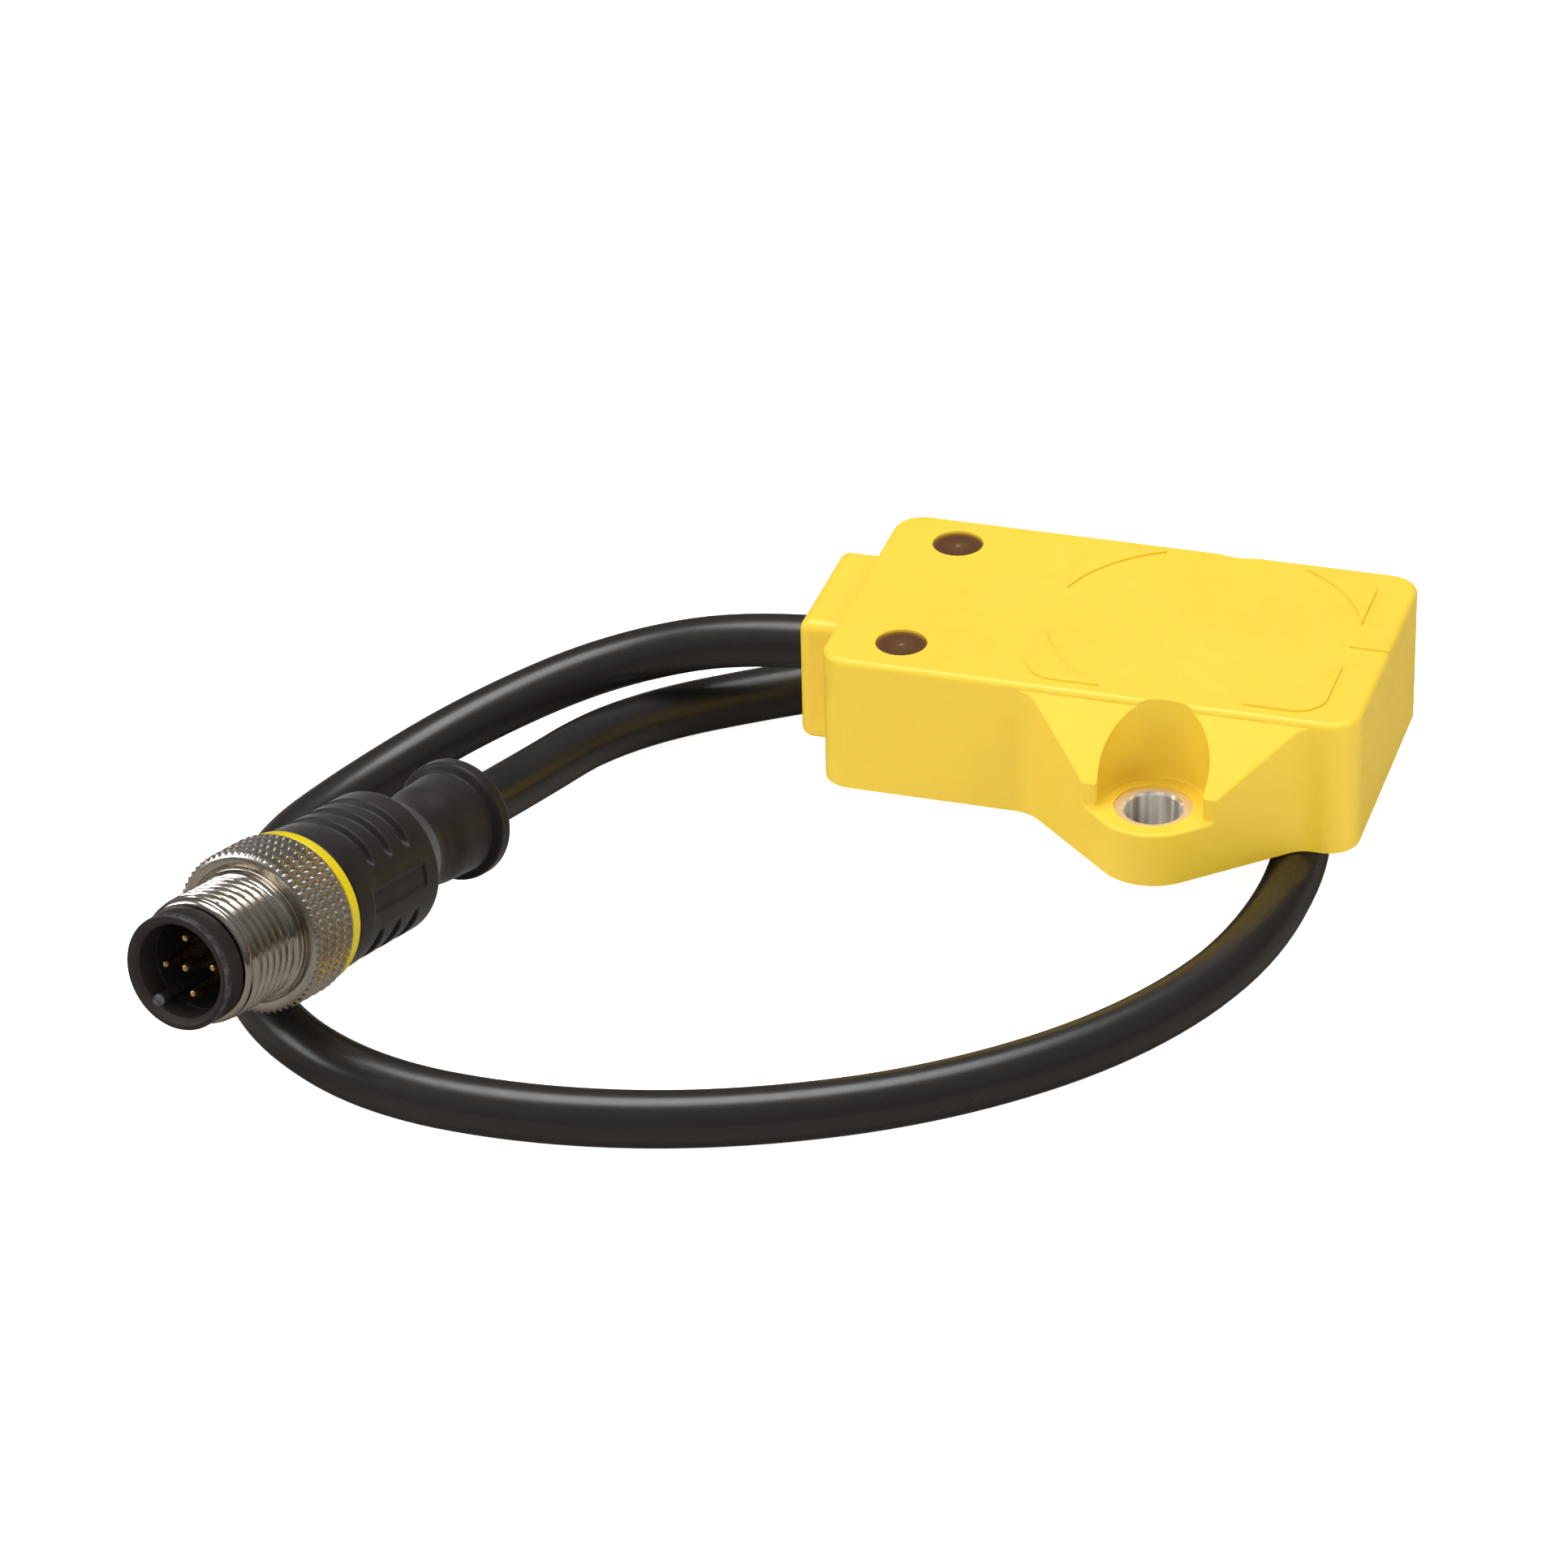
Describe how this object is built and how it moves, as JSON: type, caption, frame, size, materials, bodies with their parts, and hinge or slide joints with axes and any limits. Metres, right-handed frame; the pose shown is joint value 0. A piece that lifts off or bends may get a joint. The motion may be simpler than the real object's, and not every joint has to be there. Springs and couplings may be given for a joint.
{
  "type": "inductive rotary position sensor",
  "caption": "Flat rectangular sensor with a round sensing field, two mounting ears, status windows and a moulded cable ending in a round threaded plug.",
  "frame": {"origin": "where the sensing axis leaves the sensing face, the flat top of the housing", "axes": "+Z out of the sensing face, +X along the housing away from its cable end, +Y towards the rear mounting ear"},
  "size_m": [0.1029, 0.1046, 0.0218],
  "materials": {
    "yellow_housing": "moulded glass-filled polyester, satin with a fine grain",
    "yellow_cover": "moulded polyester, flat",
    "yellow_entry": "moulded polyester, satin",
    "potting_resin": "cast resin",
    "steel_sleeve": "turned stainless steel",
    "smoked_window": "smoked translucent plastic",
    "lamp_resin": "clear resin",
    "board_green": "solder mask",
    "copper": "printed copper",
    "tinned_metal": "tinned",
    "chip_black": "epoxy package",
    "capacitor_tan": "ceramic",
    "core_brown": "core insulation",
    "core_white": "core insulation",
    "core_blue": "core insulation",
    "core_black": "core insulation",
    "core_grey": "core insulation",
    "cable_black": "extruded jacket, smooth with a soft sheen",
    "carrier_black": "moulded insert",
    "yellow_ring": "moulded ring",
    "inner_moulding": "inner moulding",
    "grip_black": "soft overmoulding, satin",
    "gold": "gold-plated contact",
    "nickel": "nickel-plated brass"
  },
  "bodies": {
    "sensor": {"housing_shell": "yellow_housing", "base_cover": "yellow_cover", "potting_compound": "potting_resin", "cable_entry_block": "yellow_entry", "mounting_sleeve_front": "steel_sleeve", "mounting_sleeve_rear": "steel_sleeve", "status_window_front": "smoked_window", "status_window_rear": "smoked_window", "status_light_front": "lamp_resin", "status_light_rear": "lamp_resin", "circuit_board": "board_green", "coil_board": "board_green", "emitter_coil": "copper", "receiver_coils": "copper", "coil_link_pins": "tinned_metal", "position_chip": "chip_black", "output_driver_chip": "chip_black", "voltage_regulator": "chip_black", "protection_diodes": "chip_black", "capacitors": "capacitor_tan", "resistors": "chip_black", "solder_pads": "tinned_metal", "core_brown": "core_brown", "core_white": "core_white", "core_blue": "core_blue", "core_black": "core_black", "core_grey": "core_grey", "cable_jacket": "cable_black", "contact_carrier": "carrier_black", "contact_pin_1": "gold", "contact_pin_2": "gold", "contact_pin_3": "gold", "contact_pin_4": "gold", "contact_pin_5": "gold", "marking_ring": "yellow_ring", "plug_core": "inner_moulding", "plug_leads": "tinned_metal", "plug_grip": "grip_black"},
    "coupling_nut_body": {"coupling_nut": "nickel"}
  },
  "joints": [
    {"name": "coupling_nut_turn", "type": "hinge", "parent": "sensor", "child": "coupling_nut_body", "pos_m": [-0.07262, -0.06845, -0.00507], "axis": [0.235, 0.9567, -0.1719], "continuous": true}
  ]
}
